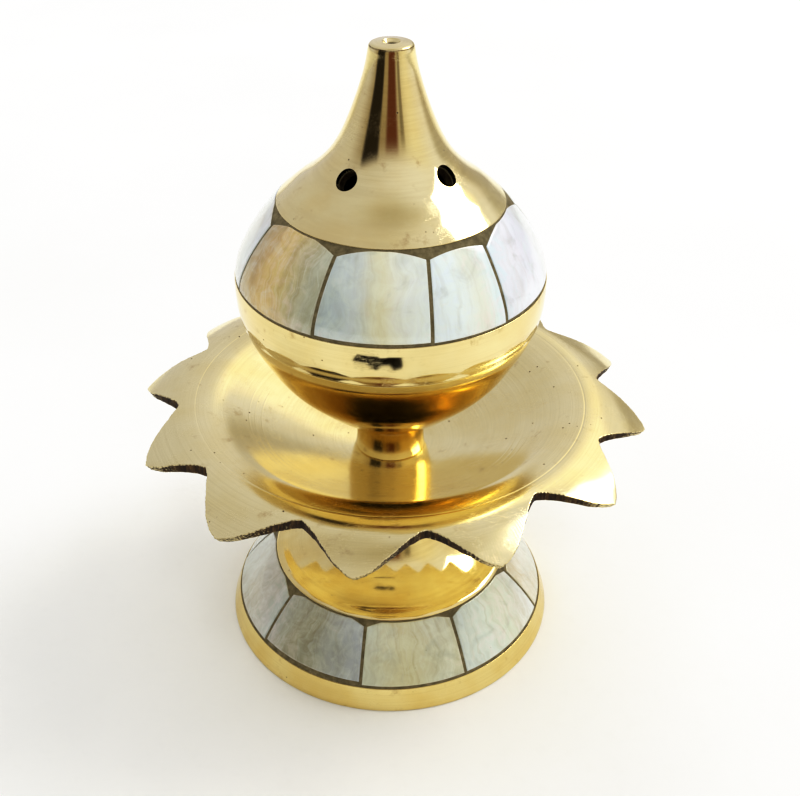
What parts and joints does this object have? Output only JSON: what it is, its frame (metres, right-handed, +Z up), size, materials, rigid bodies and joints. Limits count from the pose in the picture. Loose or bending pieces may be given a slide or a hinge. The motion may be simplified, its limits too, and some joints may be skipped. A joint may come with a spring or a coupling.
{
  "type": "incense burner",
  "caption": "Tabletop incense burner: inlaid hollow foot, sun-shaped tray, cup bowl and a lift-off tapered chimney lid with vents and shell inlay.",
  "frame": {"origin": "centre of the foot's underside, on the table plane", "axes": "+Z up along the turning axis, -Y the front"},
  "size_m": [0.0809, 0.0801, 0.1],
  "materials": {
    "lid_brass": "polished, fine turning marks and light scratches",
    "bowl_brass": "polished, turned",
    "tray_brass": "polished face, rough sawn dark edges",
    "base_brass": "polished outside, as-cast inside",
    "stud_brass": "machined thread",
    "fastener_steel": "zinc plated",
    "cement": "dark filled resin, matt",
    "lid_pearl": "polished mother-of-pearl",
    "base_pearl": "polished mother-of-pearl"
  },
  "bodies": {
    "burner": {"base_cement": "cement", "base_pearl_1": "base_pearl", "base_pearl_2": "base_pearl", "base_pearl_3": "base_pearl", "base_pearl_4": "base_pearl", "base_pearl_5": "base_pearl", "base_pearl_6": "base_pearl", "base_pearl_7": "base_pearl", "base_pearl_8": "base_pearl", "base_shell": "base_brass", "bowl": "bowl_brass", "sun_tray": "tray_brass", "tie_nut": "fastener_steel", "tie_stud": "stud_brass", "tie_washer": "fastener_steel"},
    "lid": {"lid_cement": "cement", "lid_pearl_1": "lid_pearl", "lid_pearl_2": "lid_pearl", "lid_pearl_3": "lid_pearl", "lid_pearl_4": "lid_pearl", "lid_pearl_5": "lid_pearl", "lid_pearl_6": "lid_pearl", "lid_pearl_7": "lid_pearl", "lid_pearl_8": "lid_pearl", "lid_shell": "lid_brass"}
  },
  "joints": [
    {"name": "lid_lift", "type": "slide", "parent": "burner", "child": "lid", "axis": [0, 0, 1], "range_m": [0, 0.03]}
  ]
}
